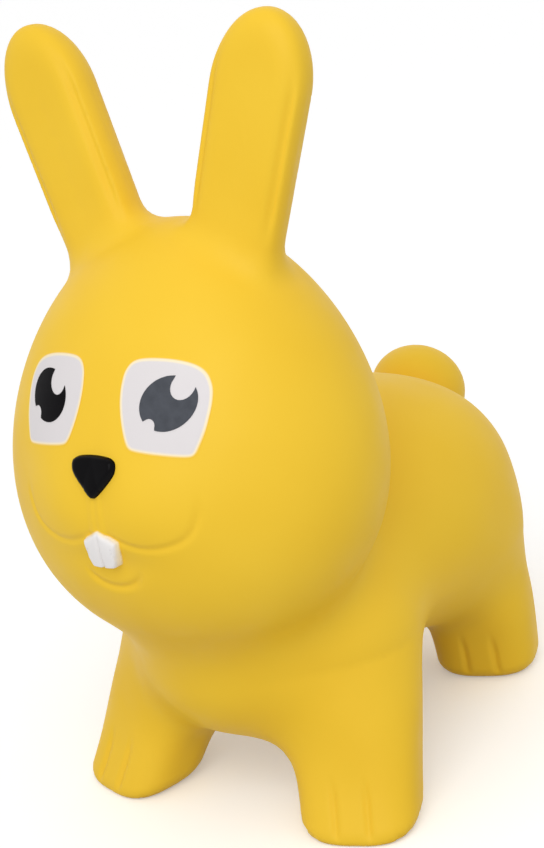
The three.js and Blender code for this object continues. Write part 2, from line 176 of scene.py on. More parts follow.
class HopperEars(bpy.types.PropertyGroup):
    """Sizes of the two ears, which are also the handles"""

    root: place("Root", (0.0555, -0.087, 0.43374), "Middle of the left ear's root on the head")
    full_length: length("Length", 0.162, "From the root to the tip")
    root_width: length("Root width", 0.068, "Width across the root")
    tip_width: length("Tip width", 0.0700, "Width where the tip begins to round off")
    tip_length: length("Tip length", 0.052, "Length of the rounded tip")
    front_depth: length("Front depth", 0.0178, "Depth in front of the ear's own middle")
    back_depth: length("Back depth", 0.0288, "Depth behind the ear's own middle")
    squareness: number("Squareness", 1.0, "How far the front is flatter and squarer than round")
    spread: angle("Spread", 18, "How far the ears lean apart")
    back_lean: angle("Back lean", 5.5, "How far the ears lean back")
    root_blend: length("Root blend", 0.018, "Roundness of the fillet at the root")
    rim: length("Rim", 0.0055, "Width of the rim that frames the front panel")
    panel_depth: length("Panel depth", 0.0034, "How far the front panel lies below its rim")
    bend_start: length("Bend start", 0.008, "Height above the root where the ear begins to bend")
    bend_end: length("Bend end", 0.190, "Height above the root where the ear has its full bend")


class HopperFace(bpy.types.PropertyGroup):
    """Sizes of what is moulded and sprayed on the face"""

    muzzle_height: length("Muzzle height", 0.287, "Height of the middle of the muzzle")
    muzzle_swell: length("Muzzle swell", 0.0068, "How far the muzzle swells out of the head")
    groove_depth: length("Groove depth", 0.0013, "Depth of the mouth's grooves")
    groove_width: length("Groove width", 0.0028, "Half width of the mouth's grooves")
    mouth_hollow: length("Mouth hollow", 0.0030, "How far the mouth lies back between cheeks and lip")
    toe_depth: length("Toe depth", 0.0026, "Depth of the grooves between the toes")
    toe_width: length("Toe width", 0.0028, "Half width of the grooves between the toes")
    toe_spacing: length("Toe spacing", 0.0245, "Distance between a foot's two grooves")
    pupil_half_width: length("Pupil half width", 0.0190, "Half width of a pupil in front view")
    pupil_half_height: length("Pupil half height", 0.0163, "Half height of a pupil")
    pupil_spacing: length("Pupil spacing", 0.1015, "Distance between the middles of the pupils")
    pupil_height: length("Pupil height", 0.3542, "Height of the pupils above the floor")
    glint_radius: length("Glint radius", 0.0080, "Radius of the large glint in a pupil")
    small_glint_radius: length("Small glint radius", 0.0046, "Radius of the small glint in a pupil")
    overspray: length("Overspray", 0.0020, "Width of the soft edge of the sprayed white")
    nose_proud: length("Nose proud", 0.0044, "How far the nose stands out")
    nose_edge: length("Nose edge", 0.0038, "Width of the nose's rounded edge")
    teeth_proud: length("Teeth proud", 0.0030, "How far the front teeth stand out")
    teeth_edge: length("Teeth edge", 0.0032, "Width of the rounded edge of the teeth")
    teeth_jut: length("Teeth jut", 0.0050, "How much further the teeth stand out at their lower end")
    film: length("Film", 0.0002, "Thickness of the sprayed paint")


class HopperFinish(bpy.types.PropertyGroup):
    """Colours of the hopper and its stage"""

    skin: colour("Skin", (251, 207, 56), "The yellow vinyl")
    skin_deep: colour("Deep skin", (247, 201, 49), "The yellow vinyl where it lies a little thicker")
    white: colour("White", (228, 223, 224), "The sprayed white of the eyes")
    tooth: colour("Tooth", (243, 240, 239), "The sprayed white of the front teeth")
    cream: colour("Cream", (255, 240, 204), "The thin edge of the white, where the yellow shows through")
    # Both pupils are black paint; the left one's greyer colour is a painted reflection.
    pupil_left: colour("Left pupil", (84, 87, 94), "The sprayed left pupil, which looks greyer")
    pupil_right: colour("Right pupil", (13, 11, 14), "The sprayed right pupil")
    nose: colour("Nose", (7, 6, 8), "The glossy black of the nose")
    plug: colour("Plug", (232, 228, 218), "The pale vinyl of the air plug")
    floor: colour("Floor", (253, 253, 253), "The plain pale floor")
    floor_bounce: colour("Floor bounce", (194, 194, 194), "The floor, for the light it gives back")


class HopperStage(bpy.types.PropertyGroup):
    """Where the picture is taken from, and its light"""

    target: place("Target", (0, 0, 0.280), "Where the camera looks, before the solids' move along Y")
    azimuth: angle("Azimuth", 36.05, "How far the camera stands round to the bunny's left")
    elevation: angle("Elevation", 19.57, "How far the camera looks down")
    roll: angle("Roll", -9.64, "How far the camera is turned about its own axis")
    distance: length("Distance", 1.3607, "From the camera to the target")
    focal_pixels: number("Focal length in pixels", 1783.6, "Focal length for a picture of the given size")
    middle_x: number("Middle across", 272.5, "Pixel column of the camera's own axis")
    middle_y: number("Middle down", 401.2, "Pixel row of the camera's own axis")
    key_place: place("Key place", (0.45, -1.05, 1.05), "Where the soft main light hangs")
    key_size: length("Key size", 1.0, "Width and height of the soft main light")
    key_power: number("Key power", 5.5, "Power of the soft main light in watts")
    floor_glow: number("Floor glow", 0.25, "How much the floor is lightened where it is looked at")
    sky_strength: number("Sky strength", 0.755, "Strength of the light from all round")


# Forms as distances: arrays of points in, metres from the surface out, negative inside

def soft_min(a, b, blend):
    """The smaller of two distances, rounded off where they are alike."""
    near = np.maximum(blend - np.abs(a - b), 0) / blend
    return np.minimum(a, b) - near * near * blend / 4


def smooth_step(value, low, high):
    """From 0 below low to 1 above high, with a soft start and end."""
    t = np.clip((value - low) / (high - low), 0, 1)
    return t * t * (3 - 2 * t)


def hump(value, width):
    """A soft bump of height 1 about zero."""
    return np.exp(-((value / width) ** 2))


# How many half heights from its middle an egg's taper stops growing
TAPER_REACH = 1.2


def egg(points, centre, half, taper=0.0, lean=0.0):
    """Distance from a ball stretched to its half sizes, narrowed towards the top and leaning back."""
    at = points - np.array(centre)
    wide, deep, tall = half
    up = at[:, 2] / tall
    waist = 1 - taper * np.clip(up, -TAPER_REACH, TAPER_REACH)
    across = at[:, 0] / (wide * waist)
    along = (at[:, 1] - lean * at[:, 2]) / (deep * waist)
    level = np.sqrt(across**2 + along**2 + up**2)
    slopes = (across / (wide * waist), along / (deep * waist), up / tall)
    slope = np.sqrt(sum(s**2 for s in slopes))
    return level * (level - 1) / (slope + TINY)


class Leg(NamedTuple):
    """A left leg: where it stands, where its hip lies, its radius at both, and the power of its lean"""

    foot: tuple
    hip: tuple
    foot_radius: float
    hip_radius: float
    bow: float


def in_leg(points, leg, form):
    """Places beside and behind a leg's leaning middle, as its foot is turned."""
    lean = np.clip(points[:, 2] / form.hip_height, 0, 1)[:, None] ** leg.bow
    off = points[:, :2] - np.array(leg.foot)[:2] * (1 - lean) - np.array(leg.hip)[:2] * lean
    along, aside = math.cos(form.foot_turn), math.sin(form.foot_turn)
    return off @ np.array([[along, -aside], [aside, along]])


# Shares of the hip's height between which a squarer foot turns into a round leg
FOOT_FADE = (0.25, 0.8)


def column(points, leg, form):
    """Distance from a leaning leg with a flat sole, a rounded sole edge and a domed hip.
    The leg is round at the hip, and near the floor it turns into a squarer, shorter foot."""
    off = np.abs(in_leg(points, leg, form))
    height = points[:, 2]
    share = height / form.hip_height
    square = 1 - smooth_step(share, *FOOT_FADE)
    power = 2 + form.foot_squareness * square
    off[:, 1] /= 1 - form.foot_shortening * square
    across = (off[:, 0] ** power + off[:, 1] ** power + TINY) ** (1 / power)
    radius = leg.foot_radius + (leg.hip_radius - leg.foot_radius) * smooth_step(share, 0, 1)
    side = across - radius + form.sole_edge
    under = form.sole_edge - height
    corner = np.hypot(np.maximum(side, 0), np.maximum(under, 0))
    standing = np.minimum(np.maximum(side, under), 0) + corner - form.sole_edge
    domed = np.hypot(across, height - form.hip_height) - leg.hip_radius
    return np.where(share > 1, domed, standing)


def line_distance(x, z, line):
    """Distance of points in front view from a line through corners given in millimetres."""
    corners = np.array(line) * MM
    nearest = np.full(len(x), np.inf)
    for (ax, az), (bx, bz) in zip(corners[:-1], corners[1:]):
        dx, dz = bx - ax, bz - az
        t = np.clip(((x - ax) * dx + (z - az) * dz) / (dx * dx + dz * dz), 0, 1)
        nearest = np.minimum(nearest, np.hypot(x - ax - t * dx, z - az - t * dz))
    return nearest


def curve_through(corners, steps, closed):
    """A smooth curve through corners, as steps points between each two of them."""
    c = np.array(corners, float)
    if not closed:
        c = np.vstack([2 * c[0] - c[1], c, 2 * c[-1] - c[-2]])
    before = np.roll(c, 1, 0) if closed else c[:-3]
    here = c if closed else c[1:-2]
    ahead = np.roll(c, -1, 0) if closed else c[2:-1]
    beyond = np.roll(c, -2, 0) if closed else c[3:]
    t = (np.arange(steps) / steps)[:, None, None]
    made = 0.5 * (
        2 * here
        + (ahead - before) * t
        + (2 * before - 5 * here + 4 * ahead - beyond) * t**2
        + (3 * here - before - 3 * ahead + beyond) * t**3
    )
    made = made.transpose(1, 0, 2).reshape(-1, c.shape[1])
    return made if closed else np.vstack([made, c[-2]])


# The lines of the face, in front view: millimetres to the bunny's left and up from the floor
CHEEK_LINE = [
    (8, 269.5), (15, 266), (23, 263), (31, 261.2), (41.5, 261), (53, 263.3), (62.5, 268),
    (69, 276), (72, 287), (71.5, 297),
]
PHILTRUM = [(0, 296), (0, 274)]
MOUTH_MIDDLE = [(0, 294), (0, 228)]
LIP_LINE = [
    (-24, 238.8), (-18.5, 233.5), (-10, 229.3), (0, 227.8), (10, 229.3), (18.5, 233.5), (24, 238.8),
]
EYE_OUTLINE = [
    (24.5, 378.6), (35, 379.6), (50, 378), (62.6, 374.4), (70.6, 369.2), (75.2, 361.4), (76.4, 353.2),
    (75.8, 345), (74.2, 335.5), (71.6, 327.2), (69.6, 323.4), (66.4, 322.7), (59, 323.6), (50, 325),
    (41, 326.4), (31.8, 328), (27.8, 329.4), (25.4, 332.6), (22.8, 339), (20, 348), (18.2, 357.5),
    (18, 366.4), (19.6, 374),
]
NOSE_OUTLINE = [
    (0, 323.4), (9, 323), (14.6, 321.8), (17.6, 319), (17.6, 313.8), (15.2, 309.6), (11, 304.9),
    (5, 299), (1.4, 296.3), (0, 295.9),
]
TEETH_OUTLINE = [
    (0, 272.8), (6, 269.6), (12.4, 266.2), (13.7, 264), (13, 258), (11.2, 251.4), (9.9, 247.8),
    (8.2, 246.6), (4, 246.2), (0, 246.1),
]
# Where the large and the small glint lie from the middle of a pupil
GLINT_STEPS = ((8.5, 9.6), (-11.4, -12.8))

# The crease of the neck softens where height, and this share of the way back, come to these metres
THROAT_TILT = 0.5
THROAT_FADE = (0.110, 0.215)

# Muzzle, in metres and a share: the puffs of the cheeks, the bridge between them, and where both begin
PUFF_ASIDE = 0.026
PUFF_WIDTH = 0.040
PUFF_FALL = 0.030
PUFF_RISE = 0.042
BRIDGE_WIDTH = 0.020
BRIDGE_HEIGHT = 0.034
BRIDGE_SHARE = 0.9
MUZZLE_FRONT = (0.130, 0.175)

# Mouth, in metres and shares: its room, where its lines fade, how strong they are, and its hollow
FACE_BACK = -0.105
FACE_LOW = 0.195
FACE_HIGH = 0.420
MOUTH_FRONT = (0.110, 0.150)
MOUTH_UNDER = (0.200, 0.215)
CHEEK_END = (0.278, 0.300)
LIP_END = (0.016, 0.027)
LIP_SHARE = 1.3
PHILTRUM_SHARE = 0.4
PHILTRUM_WIDTH_SHARE = 0.7
HOLLOW_MIDDLE = 0.2475
HOLLOW_WIDTH = 0.030
HOLLOW_HEIGHT = 0.012

# Toes, in metres: where their grooves fade above the floor and ahead of the leg's middle
FOOT_TOP = 0.056
TOE_UNDER = (0.004, 0.012)
TOE_TOP = (0.026, 0.050)
TOE_BACK = (0.010, 0.020)
TOE_FRONT = (0.062, 0.070)

# Ears, in metres and shares: how deep they begin, where the panel fades, and its groove and ridge
EAR_DEPTH = 0.060
EAR_RELIEF_DEPTH = 0.030
EAR_FRONT = (-0.003, 0.003)
EAR_ROOT = (0.004, 0.036)
EAR_TIP = (-0.010, 0.030)
PANEL_FADE = (0.001, 0.020)
PANEL_SHARE = 0.62
GROOVE_SHARE = 0.44
GROOVE_WIDTH = 0.0026
RIDGE_SHARE = 0.36
RIDGE_WIDTH = 0.0024
RIDGE_OUT = 0.0042

# How points find the skin: the step for its slope, the longest move, and the halvings from the front
SLOPE_STEP = 0.4 * MM
SETTLE_STEP = 4 * MM
HALVINGS = 40


def mirrored(half):
    """A closed outline from its left half, which starts and ends on the middle line."""
    return half + [(-x, z) for x, z in reversed(half[1:-1])]


class Skin:
    """The outer form of the hopper as one distance, with its moulded relief"""

    def __init__(self, scene):
        self.form = f = scene.hopper_form
        self.ears = scene.hopper_ears
        self.face = scene.hopper_face
        self.front_leg = Leg(
            f.front_foot, f.front_hip, f.front_foot_radius, f.front_hip_radius, f.front_bow
        )
        self.rear_leg = Leg(f.rear_foot, f.rear_hip, f.rear_foot_radius, f.rear_hip_radius, f.rear_bow)
        self.move = np.array([0, PLUG_Y - f.valve_back, 0])
        self.cheek = curve_through(CHEEK_LINE, steps=6, closed=False)
        self.lip = curve_through(LIP_LINE, steps=6, closed=False)

    def ear_matrix(self, sign):
        """Place of an ear: its own Z runs to the tip and its own -Y to the front."""
        e = self.ears
        turn = Matrix.Rotation(sign * e.spread, 3, "Y") @ Matrix.Rotation(-e.back_lean, 3, "X")
        root = Vector((sign * e.root[0], e.root[1], e.root[2])) + Vector(self.move)
        return Matrix.Translation(root) @ turn.to_4x4()

    def in_ear(self, points, sign):
        """Points in an ear's own place."""
        back = np.array(self.ear_matrix(sign).inverted())
        return points @ back[:3, :3].T + back[:3, 3]

    def ear_outline(self, at):
        """Half width of an ear at each point, and how far the point lies past the straight part."""
        e = self.ears
        shoulder = e.full_length - e.tip_length
        share = np.clip(at[:, 2] / shoulder, 0, 1)
        half = (e.root_width + (e.tip_width - e.root_width) * share) / 2
        past = at[:, 2] - share * shoulder
        return half, np.where(past > 0, past * e.tip_width / 2 / e.tip_length, past)

    def ear_distance(self, points, sign):
        """Distance from an ear: a flattened column with a rounded tip, squarer in front."""
        e = self.ears
        at = self.in_ear(points, sign)
        half, past = self.ear_outline(at)
        ahead = at[:, 1] < 0
        flat = np.where(ahead, e.front_depth, e.back_depth) / (e.tip_width / 2)
        power = np.where(ahead, 2 + e.squareness, 2)
        level = np.hypot(at[:, 0], past)
        reach = (level**power + (np.abs(at[:, 1]) / flat) ** power + TINY) ** (1 / power)
        edge = level / (reach + TINY)
        return (reach - half) * (flat + (1 - flat) * edge)

    def ear_rim(self, at):
        """How far points of an ear lie inside the line along which its front panel is framed."""
        half, past = self.ear_outline(at)
        return half - self.ears.rim - np.hypot(at[:, 0], past)

    def ear_relief(self, points, sign):
        """Front panel of an ear, flattened behind a fine ridge and a groove along its edge."""
        e = self.ears
        at = self.in_ear(points, sign)
        inside = self.ear_rim(at)
        front = smooth_step(-at[:, 1], *EAR_FRONT) * smooth_step(at[:, 2], *EAR_ROOT)
        flat = PANEL_SHARE * smooth_step(inside, *PANEL_FADE)
        groove = GROOVE_SHARE * hump(inside, GROOVE_WIDTH)
        ridge = RIDGE_SHARE * hump(inside + RIDGE_OUT, RIDGE_WIDTH)
        lines = 1 - smooth_step(at[:, 2] - (e.full_length - e.tip_length), *EAR_TIP)
        return e.panel_depth * (flat + (groove - ridge) * lines) * front

    def body_distance(self, at):
        """Distance from the barrel with its chest, haunches, legs and tail."""
        f = self.form
        barrel = egg(at, f.barrel_centre, f.barrel_half)
        trunk = soft_min(barrel, egg(at, f.chest_centre, f.chest_half), f.chest_blend)
        # Left and right are alike, and run softly into each other along the middle.
        pair = at.copy()
        pair[:, 0] = np.hypot(at[:, 0], f.middle_softness)
        front = soft_min(trunk, column(pair, self.front_leg, f), f.shoulder_blend)
        haunch = egg(pair, f.haunch_centre, f.haunch_half)
        rear = soft_min(haunch, column(pair, self.rear_leg, f), f.hip_blend)
        body = soft_min(front, rear, f.haunch_blend)
        turned = (at - np.array(f.tail_centre)) @ np.array(Matrix.Rotation(f.tail_rise, 3, "X"))
        return soft_min(body, egg(turned, (0, 0, 0), f.tail_half), f.tail_blend)

    def head_distance(self, at, points):
        """Distance from the head with its ears, where at is points before the solids' move."""
        f = self.form
        head = egg(at, f.head_centre, f.head_half, f.head_taper, f.head_lean)
        high = at[:, 2] > self.ears.root[2] - EAR_DEPTH
        ears = [self.ear_distance(points[high], sign) for sign in SIDES.values()]
        head[high] = soft_min(head[high], np.minimum(*ears), self.ears.root_blend)
        return head

    def plain(self, points):
        """The form without its relief."""
        f = self.form
        at = points - self.move
        throat = 1 - smooth_step(at[:, 2] + THROAT_TILT * at[:, 1], *THROAT_FADE)
        blend = f.neck_blend + (f.throat_blend - f.neck_blend) * throat
        return soft_min(self.body_distance(at), self.head_distance(at, points), blend)

    def muzzle(self, at):
        """How far the muzzle swells: two puffed cheeks that end at the mouth's lines."""
        face = self.face
        rise = at[:, 2] - face.muzzle_height
        wide = np.abs(at[:, 0])
        fall = np.where(rise < 0, PUFF_FALL, PUFF_RISE)
        puffs = hump(wide - PUFF_ASIDE, PUFF_WIDTH) * hump(rise, fall)
        bridge = hump(wide, BRIDGE_WIDTH) * hump(rise, BRIDGE_HEIGHT)
        front = smooth_step(-at[:, 1], *MUZZLE_FRONT)
        return face.muzzle_swell * np.maximum(puffs, BRIDGE_SHARE * bridge) * front

    def face_relief(self, at):
        """Grooves of the mouth, with the muzzle's swelling and the hollow of the mouth under it."""
        face = self.face
        x, z = at[:, 0], at[:, 2]
        wide = np.abs(x)
        front = smooth_step(-at[:, 1], *MOUTH_FRONT) * smooth_step(z, *MOUTH_UNDER)
        cheek = hump(line_distance(wide, z, self.cheek), face.groove_width)
        cheek *= 1 - smooth_step(z, *CHEEK_END)
        philtrum = hump(line_distance(x, z, PHILTRUM), PHILTRUM_WIDTH_SHARE * face.groove_width)
        lip = hump(line_distance(x, z, self.lip), face.groove_width)
        lip *= 1 - smooth_step(wide, *LIP_END)
        mouth = np.maximum.reduce([cheek, PHILTRUM_SHARE * philtrum, LIP_SHARE * lip])
        hollow = hump(wide, HOLLOW_WIDTH) * hump(z - HOLLOW_MIDDLE, HOLLOW_HEIGHT)
        return (face.groove_depth * mouth + face.mouth_hollow * hollow) * front - self.muzzle(at)

    def toe_relief(self, at):
        """Two grooves on each foot that part its three toes."""
        face = self.face
        low = smooth_step(at[:, 2], *TOE_UNDER) * (1 - smooth_step(at[:, 2], *TOE_TOP))
        depth = np.zeros(len(at))
        for own in self.in_feet(at):
            ahead = smooth_step(-own[:, 1], *TOE_BACK) * (1 - smooth_step(-own[:, 1], *TOE_FRONT))
            off = np.abs(own[:, 0]) - face.toe_spacing / 2
            depth += face.toe_depth * hump(off, face.toe_width) * low * ahead
        return depth

    def in_feet(self, at):
        """Places as a front and a rear foot see them, with both sides folded into one."""
        pair = np.column_stack((np.abs(at[:, 0]), at[:, 1:]))
        return [in_leg(pair, leg, self.form) for leg in (self.front_leg, self.rear_leg)]

    def relief(self, points):
        """Depth of what is moulded into the skin: grooves are positive and swellings negative."""
        at = points - self.move
        depth = np.zeros(len(points))
        face = (at[:, 1] < FACE_BACK) & (at[:, 2] > FACE_LOW) & (at[:, 2] < FACE_HIGH)
        depth[face] = self.face_relief(at[face])
        low = at[:, 2] < FOOT_TOP
        depth[low] = self.toe_relief(at[low])
        for sign in SIDES.values():
            ear = (at[:, 2] > self.ears.root[2] - EAR_RELIEF_DEPTH) & (sign * at[:, 0] > 0)
            depth[ear] += self.ear_relief(points[ear], sign)
        return depth

    def distance(self, points):
        """The form with its relief."""
        return self.plain(points) + self.relief(points)

    def normals(self, points):
        """The way out of the skin at each point."""
        slopes = []
        for step in SLOPE_STEP * np.eye(3):
            slopes.append(self.distance(points + step) - self.distance(points - step))
        out = np.stack(slopes, 1)
        return out / np.linalg.norm(out, axis=1, keepdims=True)

    def settle(self, points, rounds=4):
        """Points moved onto the skin along its own normals."""
        for _ in range(rounds):
            stray = np.clip(self.distance(points), -SETTLE_STEP, SETTLE_STEP)
            points = points - self.normals(points) * stray[:, None]
        return points

    def on_front(self, x, z):
        """Points of the face at places in front view, in metres."""
        near = np.full(len(x), self.form.head_centre[1] + self.move[1])
        far = near - 2 * self.form.head_half[1]
        for _ in range(HALVINGS):
            middle = (near + far) / 2
            out = self.distance(np.stack([x, middle, z], 1)) > 0
            far = np.where(out, middle, far)
            near = np.where(out, near, middle)
        return np.stack([x, near, z], 1)


# Meshes

def surface_net(distance, low, high, step):
    """Corners and four-sided faces on the zero level of a distance, one corner for each crossed cell."""
    counts = np.ceil((high - low) / step).astype(int) + 1
    axes = [low[k] + step * np.arange(counts[k]) for k in range(3)]
    grid = np.stack(np.meshgrid(*axes, indexing="ij"), -1)
    values = distance(grid.reshape(-1, 3)).reshape(counts)
    inside = values < 0
    cells = counts - 1
    sums = np.zeros((*cells, 3))
    hits = np.zeros(cells)
    crossings = []
    for k in range(3):
        near = tuple(slice(0, -1) if a == k else slice(None) for a in range(3))
        far = tuple(slice(1, None) if a == k else slice(None) for a in range(3))
        crossed = inside[near] != inside[far]
        change = np.where(crossed, values[near] - values[far], 1)
        point = grid[near].copy()
        point[..., k] += step * values[near] / change
        crossings.append((crossed, inside[near]))
        i, j = [a for a in range(3) if a != k]
        for di in (0, 1):
            for dj in (0, 1):
                cut = [slice(None)] * 3
                cut[i] = slice(di, di + cells[i])
                cut[j] = slice(dj, dj + cells[j])
                hit = crossed[tuple(cut)]
                sums += np.where(hit[..., None], point[tuple(cut)], 0)
                hits += hit
    used = hits > 0
    index = np.full(cells, -1)
    index[used] = np.arange(used.sum())
    corners = sums[used] / hits[used][:, None]
    faces = []
    for k, (crossed, starts_inside) in enumerate(crossings):
        i, j = [(1, 2), (2, 0), (0, 1)][k]
        at = np.argwhere(crossed)
        ring = []
        for di, dj in ((1, 1), (0, 1), (0, 0), (1, 0)):
            cell = at.copy()
            cell[:, i] -= di
            cell[:, j] -= dj
            ring.append(index[tuple(cell.T)])
        quads = np.stack(ring, 1)
        turned = starts_inside[tuple(at.T)]
        quads[~turned] = quads[~turned][:, ::-1]
        faces.append(quads)
    return corners, np.concatenate(faces)


# How far a corner is drawn towards its neighbours in one round
EVEN_PULL = 0.6


def evened(corners, faces, settle, rounds):
    """Corners drawn towards their neighbours and put back on the surface, so that faces get even."""
    count = len(corners)
    edges = np.concatenate([faces[:, [k, (k + 1) % 4]] for k in range(4)])
    start, end = np.concatenate([edges, edges[:, ::-1]]).T
    neighbours = np.bincount(start, minlength=count)[:, None]
    for _ in range(rounds):
        total = np.stack([np.bincount(start, corners[end, k], count) for k in range(3)], 1)
        corners = settle(corners * (1 - EVEN_PULL) + EVEN_PULL * total / neighbours, 1)
    return settle(corners)


def mesh_points(bm):
    """Corners of a mesh under work, as an array."""
    return np.array([v.co for v in bm.verts], float).reshape(-1, 3)


def refine(bm, skin, wanted):
    """Halves the faces that are wanted, and puts all corners on the skin."""
    edges = {edge for face, take in zip(bm.faces, wanted) if take for edge in face.edges}
    bmesh.ops.subdivide_edges(bm, edges=list(edges), cuts=1, use_grid_fill=True)
    for vertex, point in zip(bm.verts, skin.settle(mesh_points(bm), 2)):
        vertex.co = point


def add_object(name, mesh, material):
    """A new object with its mesh in the row frame and one material."""
    mesh.name = name
    obj = bpy.data.objects.new(name, mesh)
    bpy.context.scene.collection.objects.link(obj)
    mesh.materials.append(material)
    return obj


def mesh_of(corners, faces):
    """A smooth-shaded mesh."""
    mesh = bpy.data.meshes.new("mesh")
    mesh.from_pydata([tuple(map(float, c)) for c in corners], [], [tuple(map(int, f)) for f in faces])
    mesh.validate()
    mesh.polygons.foreach_set("use_smooth", [True] * len(mesh.polygons))
    return mesh


def edge_distance(flat, outline):
    """Distance of points in front view from a closed outline: positive inside it and negative outside."""
    ring = np.vstack([outline, outline[:1]])
    nearest = line_distance(flat[:, 0], flat[:, 1], ring / MM)
    inside = np.zeros(len(flat), bool)
    for (ax, az), (bx, bz) in zip(ring[:-1], ring[1:]):
        spans = (az > flat[:, 1]) != (bz > flat[:, 1])
        rise = bz - az if bz != az else 1
        inside ^= spans & (flat[:, 0] < ax + (bx - ax) * (flat[:, 1] - az) / rise)
    return np.where(inside, nearest, -nearest)


def widened(outline, by):
    """An outline in front view moved outwards by a distance."""
    along = np.roll(outline, -1, 0) - np.roll(outline, 1, 0)
    out = np.stack([along[:, 1], -along[:, 0]], 1)
    out /= np.linalg.norm(out, axis=1, keepdims=True)
    area = np.sum(outline[:, 0] * np.roll(outline[:, 1], -1) - outline[:, 1] * np.roll(outline[:, 0], -1))
    return outline + out * by * np.sign(area)


# Filling: height of a row of even triangles as a share of their side, and two settings of the filler
ROW_SHARE = 0.866
SAME_POINT = 1e-7
FILL_INSIDE = 1


def filled(outline, step, rings=()):
    """Points and three-sided faces that fill an outline in front view, the faces looking forwards.
    rings are further outlines inside it that get points of their own."""
    low, high = outline.min(0), outline.max(0)
    rows = np.arange(low[1], high[1], step * ROW_SHARE)
    row = np.arange(low[0], high[0], step)
    inner = np.array([(x + step / 2 * (k % 2), z) for k, z in enumerate(rows) for x in row])
    inner = inner[edge_distance(inner, rings[-1] if rings else outline) > step / 2]
    sides = len(outline)
    edges = [(k, (k + 1) % sides) for k in range(sides)]
    points = [Vector(p) for p in np.vstack([outline, *rings, inner])]
    made = delaunay_2d_cdt(points, edges, [], FILL_INSIDE, SAME_POINT)
    flat = np.array([tuple(p) for p in made[0]])
    faces = []
    for a, b, c in made[2]:
        turn = np.cross(flat[b] - flat[a], flat[c] - flat[a])
        faces.append((a, b, c) if turn > 0 else (a, c, b))
    return flat, faces


# How far the back of what is put on the face lies in the skin
FILM_BACK = 0.9 * MM


def face_film(skin, outline, step, height, rings=()):
    """A closed film on the face inside an outline in front view, given in metres.
    height takes the points in front view and gives how far each stands over the skin.
    Returns the mesh and the points in front view, once for the front and once for the back."""
    flat, faces = filled(outline, step, rings)
    base = skin.on_front(flat[:, 0], flat[:, 1])
    out = skin.normals(base)
    count = len(flat)
    corners = np.vstack([base + out * height(flat)[:, None], base - out * FILM_BACK])
    behind = [(a + count, c + count, b + count) for a, b, c in faces]
    pairs = {(f[k], f[(k + 1) % 3]) for f in faces for k in range(3)}
    rim = {(a, b) for a, b in pairs if (b, a) not in pairs}
    mesh = mesh_of(corners, faces + behind + [(b, a, a + count, b + count) for a, b in rim])
    rim |= {(b, a) for a, b in rim}
    sharp = [tuple(edge.vertices) in rim for edge in mesh.edges]
    mesh.attributes.new("sharp_edge", "BOOLEAN", "EDGE").data.foreach_set("value", sharp)
    return mesh, np.vstack([flat, flat])


def even_film(thickness):
    """The height of a film that is as thick everywhere."""
    return lambda flat: np.full(len(flat), thickness)


def set_cover(mesh, cover):
    """Keeps on a mesh how well its paint covers."""
    mesh.attributes.new("cover", "FLOAT", "POINT").data.foreach_set("value", cover)


def rounded_height(flat, outline, proud, edge):
    """Height of a pad that rises from nothing at its outline to its full height over a rounded edge."""
    rise = np.clip(edge_distance(flat, outline) / edge, 0, 1)
    return proud * np.sqrt(1 - (1 - rise) ** 2)


def bitten(ring, middle, radius):
    """A closed outline, walked to the left, with a round bite out of its edge."""
    inside = np.linalg.norm(ring - middle, axis=1) < radius
    first = int(np.argmax(inside & ~np.roll(inside, 1)))
    ring = np.roll(ring, -first, 0)
    count = int(inside.sum())
    start, end = [math.atan2(*(ring[k] - middle)[::-1]) for k in (-1, count)]
    turn = start - np.linspace(0, (start - end) % (2 * math.pi), count + 1)[1:-1]
    arc = middle + radius * np.stack([np.cos(turn), np.sin(turn)], 1)
    return np.vstack([arc, ring[count:]])


PUPIL_POINTS = 120


def pupil_outline(face, sign):
    """A pupil in front view, with round bites where its two glints show the white."""
    middle = np.array([sign * face.pupil_spacing / 2, face.pupil_height])
    turn = np.arange(PUPIL_POINTS) * 2 * np.pi / PUPIL_POINTS
    ring = np.stack([face.pupil_half_width * np.cos(turn), face.pupil_half_height * np.sin(turn)], 1)
    for step, radius in zip(GLINT_STEPS, (face.glint_radius, face.small_glint_radius)):
        ring = bitten(ring, np.array(step) * MM, radius)
    return middle + ring


def lathe(profile, sides, base):
    """A round mesh on the plug's axis from (radius, height) pairs in millimetres over a base height.
    It is closed where the radius is zero."""
    corners, faces, rows = [], [], []
    for radius, height in np.array(profile) * MM:
        count = sides if radius else 1
        rows.append(range(len(corners), len(corners) + count))
        for turn in 2 * np.pi * np.arange(count) / count:
            x, y = radius * math.cos(turn), radius * math.sin(turn)
            corners.append((PLUG_X + x, PLUG_Y + y, base + height))
    for low, high in zip(rows[:-1], rows[1:]):
        for a in range(sides):
            b = (a + 1) % sides
            ring = [low[a % len(low)], low[b % len(low)], high[b % len(high)], high[a % len(high)]]
            face = tuple(dict.fromkeys(ring))
            if len(face) > 2:
                faces.append(face)
    return mesh_of(corners, faces)


# Materials

# How far roughness strays to both sides, and how dark the mottling of paint gets
ROUGHNESS_SPREAD = 0.05
MOTTLE_SHADE = 0.82


def new_material(name):
    """A material, its node tree and its shader."""
    material = bpy.data.materials.new(name)
    material.use_nodes = True
    tree = material.node_tree
    return material, tree, tree.nodes["Principled BSDF"]


def add_node(tree, kind, **values):
    """A node whose settings and input values are given by name."""
    node = tree.nodes.new(kind)
    for key, value in values.items():
        if key in node.inputs:
            node.inputs[key].default_value = value
        else:
            setattr(node, key, value)
    return node


def add_noise(tree, scale, detail=3):
    """Noise fixed to the object itself."""
    where = add_node(tree, "ShaderNodeTexCoord")
    noise = add_node(tree, "ShaderNodeTexNoise", Scale=scale, Detail=detail)
    tree.links.new(where.outputs["Object"], noise.inputs["Vector"])
    return noise.outputs["Fac"]


